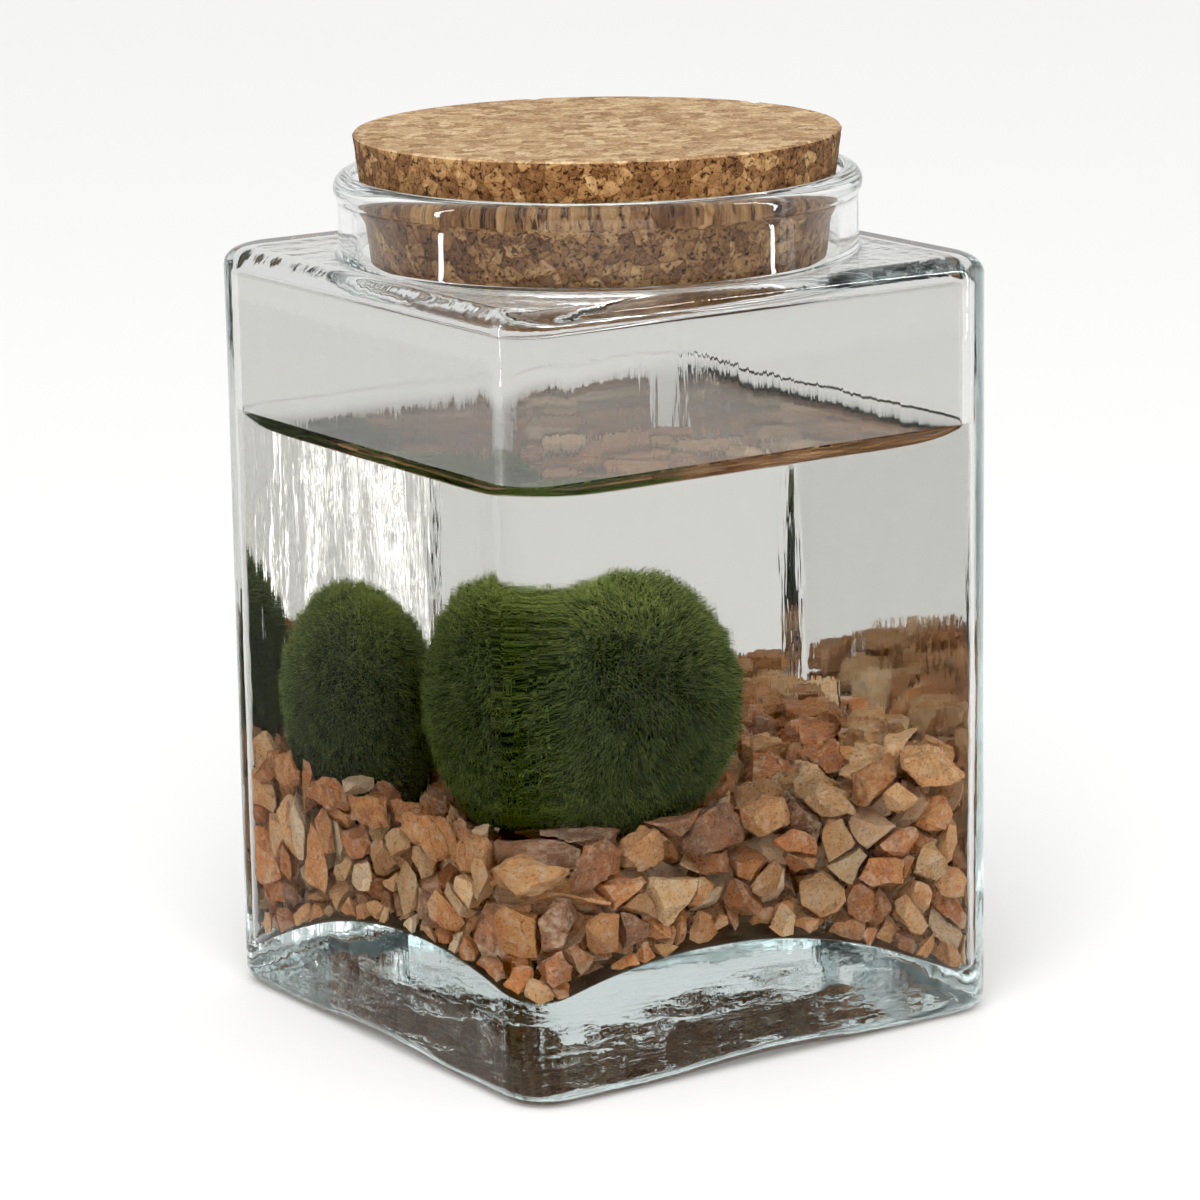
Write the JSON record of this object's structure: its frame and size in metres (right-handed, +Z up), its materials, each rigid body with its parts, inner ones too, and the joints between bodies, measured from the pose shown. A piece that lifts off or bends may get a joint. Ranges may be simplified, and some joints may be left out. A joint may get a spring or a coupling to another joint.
{
  "type": "marimo moss ball jar",
  "caption": "Marimo moss balls on tan gravel under clear water, in a square glass jar with a round neck, a rolled lip and a tapered cork stopper.",
  "frame": {"origin": "centre of the jar's underside, on the surface that the jar stands on", "axes": "+Z up, along the jar's neck; the jar's flat sides face +X, -X, +Y and -Y; the large ball lies towards -X and -Y"},
  "size_m": [0.1, 0.1, 0.1565],
  "materials": {
    "clear_glass": "clear, fire polished, slightly wavy",
    "pressed_cork": "matt, granular",
    "water": "clear liquid",
    "moss": "matt, velvety filaments",
    "gravel": "matt, wet"
  },
  "bodies": {
    "root": {"jar": "clear_glass", "cork_stopper": "pressed_cork", "water": "water", "moss_ball_large": "moss", "moss_ball_small": "moss", "gravel_bed": "gravel", "gravel_stone_01": "gravel", "gravel_stone_02": "gravel", "gravel_stone_03": "gravel", "gravel_stone_04": "gravel", "gravel_stone_05": "gravel", "gravel_stone_06": "gravel", "gravel_stone_07": "gravel", "gravel_stone_08": "gravel", "gravel_stone_09": "gravel", "gravel_stone_10": "gravel", "gravel_stone_11": "gravel", "gravel_stone_12": "gravel", "gravel_stone_13": "gravel", "gravel_stone_14": "gravel", "gravel_stone_15": "gravel", "gravel_stone_16": "gravel", "gravel_stone_17": "gravel", "gravel_stone_18": "gravel", "gravel_stone_19": "gravel", "gravel_stone_20": "gravel", "gravel_stone_21": "gravel", "gravel_stone_22": "gravel", "gravel_stone_23": "gravel", "gravel_stone_24": "gravel", "gravel_stone_25": "gravel", "gravel_stone_26": "gravel", "gravel_stone_27": "gravel", "gravel_stone_28": "gravel", "gravel_stone_29": "gravel", "gravel_stone_30": "gravel", "gravel_stone_31": "gravel", "gravel_stone_32": "gravel", "gravel_stone_33": "gravel", "gravel_stone_34": "gravel", "gravel_stone_35": "gravel", "gravel_stone_36": "gravel", "gravel_stone_37": "gravel", "gravel_stone_38": "gravel", "gravel_stone_39": "gravel", "gravel_stone_40": "gravel", "gravel_stone_41": "gravel", "gravel_stone_42": "gravel", "gravel_stone_43": "gravel", "gravel_stone_44": "gravel", "gravel_stone_45": "gravel", "gravel_stone_46": "gravel", "gravel_stone_47": "gravel", "gravel_stone_48": "gravel", "gravel_stone_49": "gravel", "gravel_stone_50": "gravel", "gravel_stone_51": "gravel", "gravel_stone_52": "gravel", "gravel_stone_53": "gravel"}
  },
  "joints": []
}
